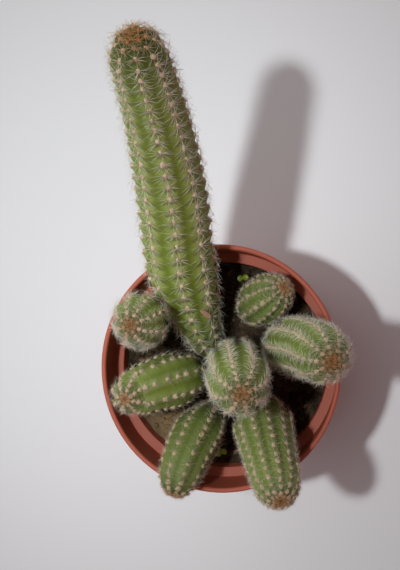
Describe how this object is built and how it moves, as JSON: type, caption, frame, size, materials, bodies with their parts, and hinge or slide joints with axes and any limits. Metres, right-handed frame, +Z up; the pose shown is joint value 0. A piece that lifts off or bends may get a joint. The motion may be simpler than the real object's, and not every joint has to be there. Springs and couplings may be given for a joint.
{
  "type": "potted peanut cactus",
  "caption": "Peanut cactus with ribbed, spiny finger stems, one long and leaning over the rim, in a small round terracotta-coloured plastic nursery pot filled with soil",
  "frame": {"origin": "centre of the pot's flat underside, on the surface that the pot stands on", "axes": "+Z up along the pot's axis; +Y the way the tall stem leans; +X to the right, seen from -Y"},
  "size_m": [0.0618, 0.1117, 0.126],
  "materials": {
    "pot_plastic": "satin",
    "potting_mix": "matte",
    "cactus_skin": "satin",
    "seedling_leaf": "satin"
  },
  "bodies": {
    "root": {"pot": "pot_plastic", "soil": "potting_mix", "stem_tall": "cactus_skin", "stem_centre": "cactus_skin", "stem_right": "cactus_skin", "stem_front_right": "cactus_skin", "stem_front_left": "cactus_skin", "stem_left": "cactus_skin", "stem_back_left": "cactus_skin", "stem_back_right": "cactus_skin", "seedling_front": "seedling_leaf", "seedling_back": "seedling_leaf"}
  },
  "joints": []
}
